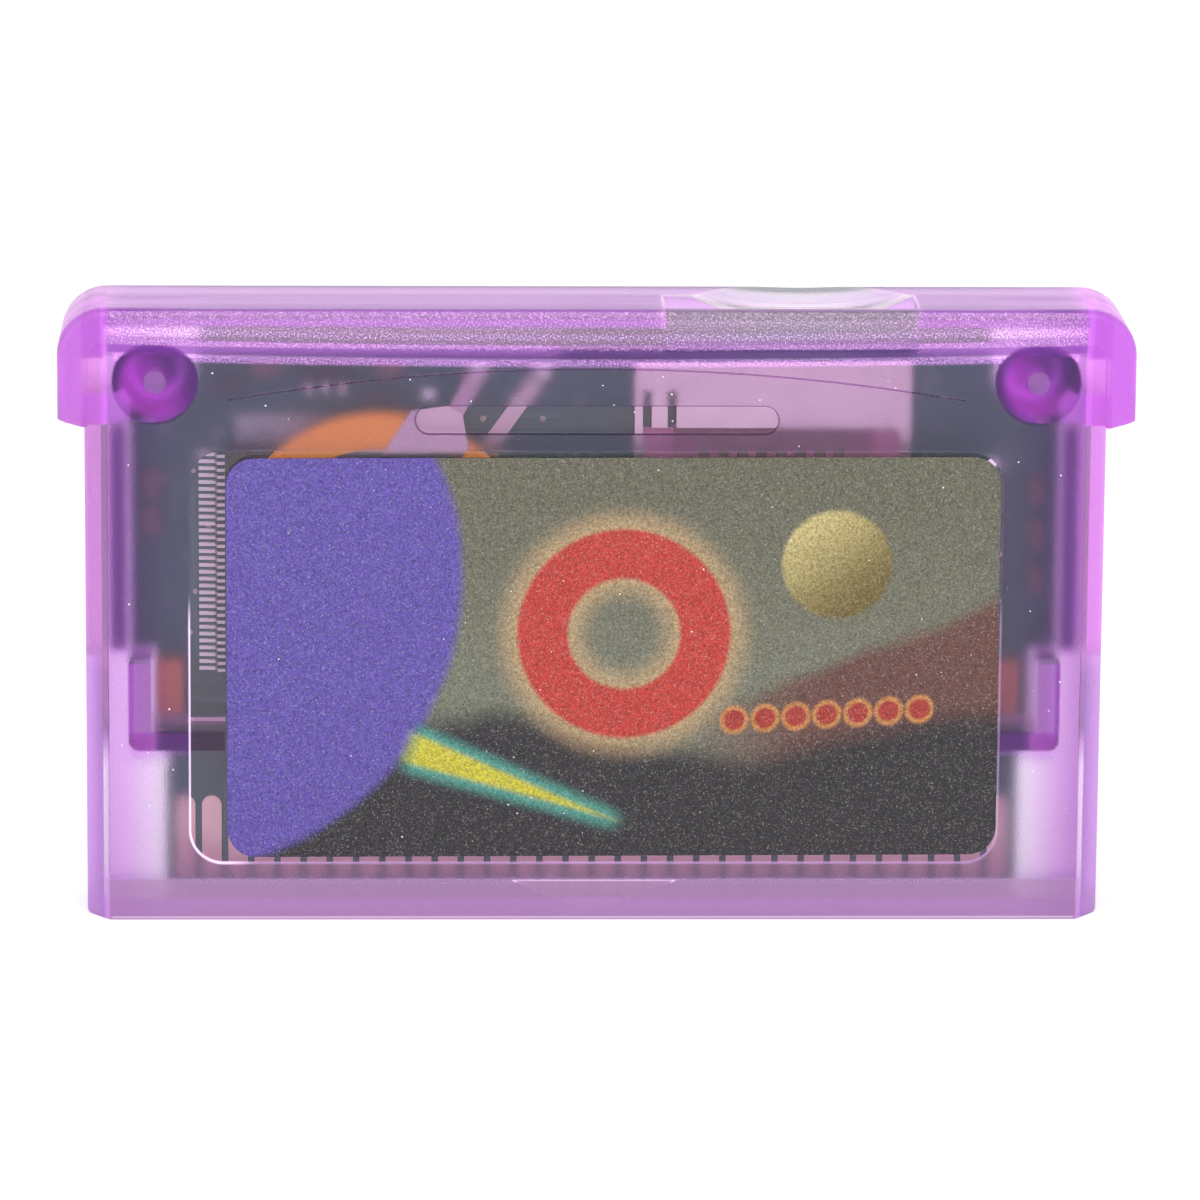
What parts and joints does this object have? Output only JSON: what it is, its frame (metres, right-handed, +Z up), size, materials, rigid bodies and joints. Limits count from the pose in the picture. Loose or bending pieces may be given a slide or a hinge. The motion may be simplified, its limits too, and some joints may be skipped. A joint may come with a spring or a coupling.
{
  "type": "flash cartridge",
  "caption": "Translucent handheld-console flash cartridge: two shells around a board with edge contacts, coin cell and card socket, and a label in a recess.",
  "frame": {"origin": "middle of the bottom of the bounding box, on the contact edge that the cartridge stands on", "axes": "+X to the right as the label is read, -Y out of the label, +Z up towards the grip"},
  "size_m": [0.0604, 0.009, 0.0353],
  "materials": {
    "shell_plastic": "translucent, frosted outside with polished windows",
    "screw_steel": "plated",
    "board_laminate": "dark green solder mask",
    "contact_gold": "gold plated",
    "package_resin": "moulded",
    "lead_tin": "tinned",
    "cell_steel": "nickel plated",
    "sleeve_film": "shrunk film",
    "tab_nickel": "rolled",
    "socket_resin": "moulded",
    "cover_steel": "pressed sheet",
    "capacitor_tan": "with tinned ends",
    "resistor_black": "with tinned ends",
    "crystal_metal": "satin",
    "label_print": "printed, satin film"
  },
  "bodies": {
    "root": {"front_shell": "shell_plastic", "back_shell": "shell_plastic", "screw_left": "screw_steel", "screw_right": "screw_steel", "circuit_board": "board_laminate", "front_contacts": "contact_gold", "back_contacts": "contact_gold", "controller_body": "package_resin", "controller_leads": "lead_tin", "controller_pads": "lead_tin", "coin_cell": "cell_steel", "battery_sleeve": "sleeve_film", "positive_tab": "tab_nickel", "negative_tab": "tab_nickel", "tab_solder": "lead_tin", "card_socket_base": "socket_resin", "card_socket_cover": "cover_steel", "card_socket_contacts": "contact_gold", "work_memory_body": "package_resin", "work_memory_leads": "lead_tin", "save_memory_body": "package_resin", "save_memory_leads": "lead_tin", "capacitor_left": "capacitor_tan", "capacitor_right": "capacitor_tan", "ceramic_capacitors": "capacitor_tan", "chip_resistors": "resistor_black", "crystal": "crystal_metal", "regulator_body": "package_resin", "regulator_leads": "lead_tin", "label": "label_print"}
  },
  "joints": []
}
